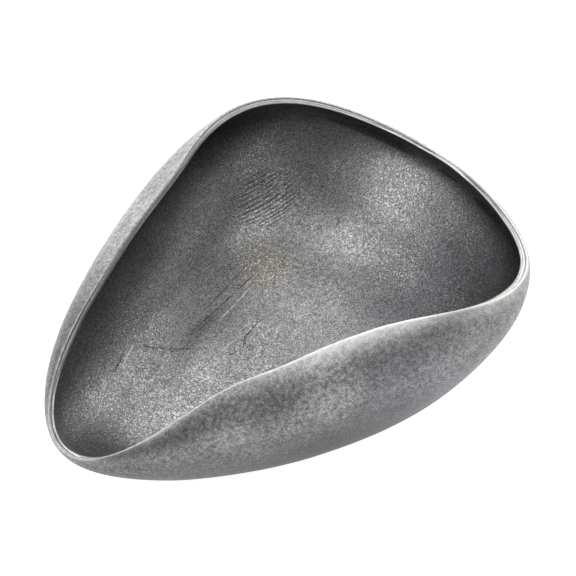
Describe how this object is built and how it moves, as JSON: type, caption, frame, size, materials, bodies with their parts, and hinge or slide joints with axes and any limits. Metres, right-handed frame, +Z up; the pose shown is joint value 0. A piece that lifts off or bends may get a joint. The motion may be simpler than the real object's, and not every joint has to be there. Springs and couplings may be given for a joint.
{
  "type": "sauce bowl",
  "caption": "Handle-less rounded-triangular metal sauce bowl with an insulated wall, inward-rolled flanks and a low pouring tip; holds and pours hot sauce.",
  "frame": {"origin": "centre of the flat underside, on the table plane", "axes": "+Z up from the table; +X from the middle of the back to the pouring tip; the bowl is symmetric about the XZ plane"},
  "size_m": [0.193, 0.1488, 0.0627],
  "materials": {
    "outer_metal": "tumbled, satin",
    "inner_metal": "tumbled, satin, finely speckled",
    "seam_metal": "matte weld bead",
    "base_metal": "tumbled, satin",
    "plug_metal": "matte"
  },
  "bodies": {
    "root": {"outer_shell": "outer_metal", "inner_shell": "inner_metal", "rim_seam": "seam_metal", "base_plate": "base_metal", "vent_plug": "plug_metal"}
  },
  "joints": []
}
